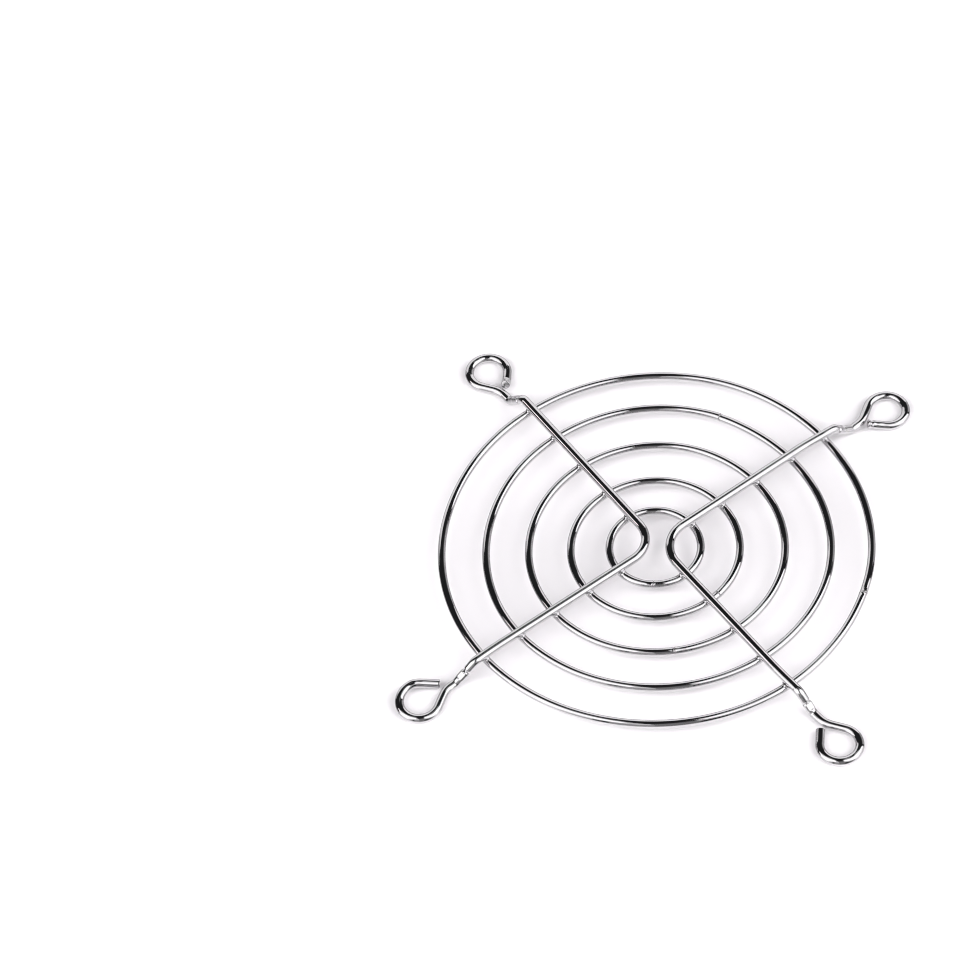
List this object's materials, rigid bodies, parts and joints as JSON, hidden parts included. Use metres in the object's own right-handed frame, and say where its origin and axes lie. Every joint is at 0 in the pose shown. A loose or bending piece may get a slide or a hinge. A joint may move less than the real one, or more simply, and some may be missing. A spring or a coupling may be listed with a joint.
{
  "type": "wire fan guard",
  "caption": "Round wire finger guard for a square fan: concentric rings welded under V-shaped spoke wires that end in open screw eyes.",
  "frame": {"origin": "middle of the guard on the plane that the undersides of the four eyes rest on, which is the face of the fan", "axes": "+Z away from the fan, +X across the gap between the two spoke wires' bends, towards the right spoke wire, +Y along that gap, at 45 degrees to the arms"},
  "size_m": [0.0798, 0.0798, 0.005],
  "materials": {
    "ring_wire": "bright nickel-chrome plating on drawn steel wire",
    "spoke_wire": "bright nickel-chrome plating on drawn steel wire"
  },
  "bodies": {
    "root": {"inner_ring": "ring_wire", "second_ring": "ring_wire", "third_ring": "ring_wire", "fourth_ring": "ring_wire", "outer_ring": "ring_wire", "left_spoke_wire": "spoke_wire", "right_spoke_wire": "spoke_wire"}
  },
  "joints": []
}
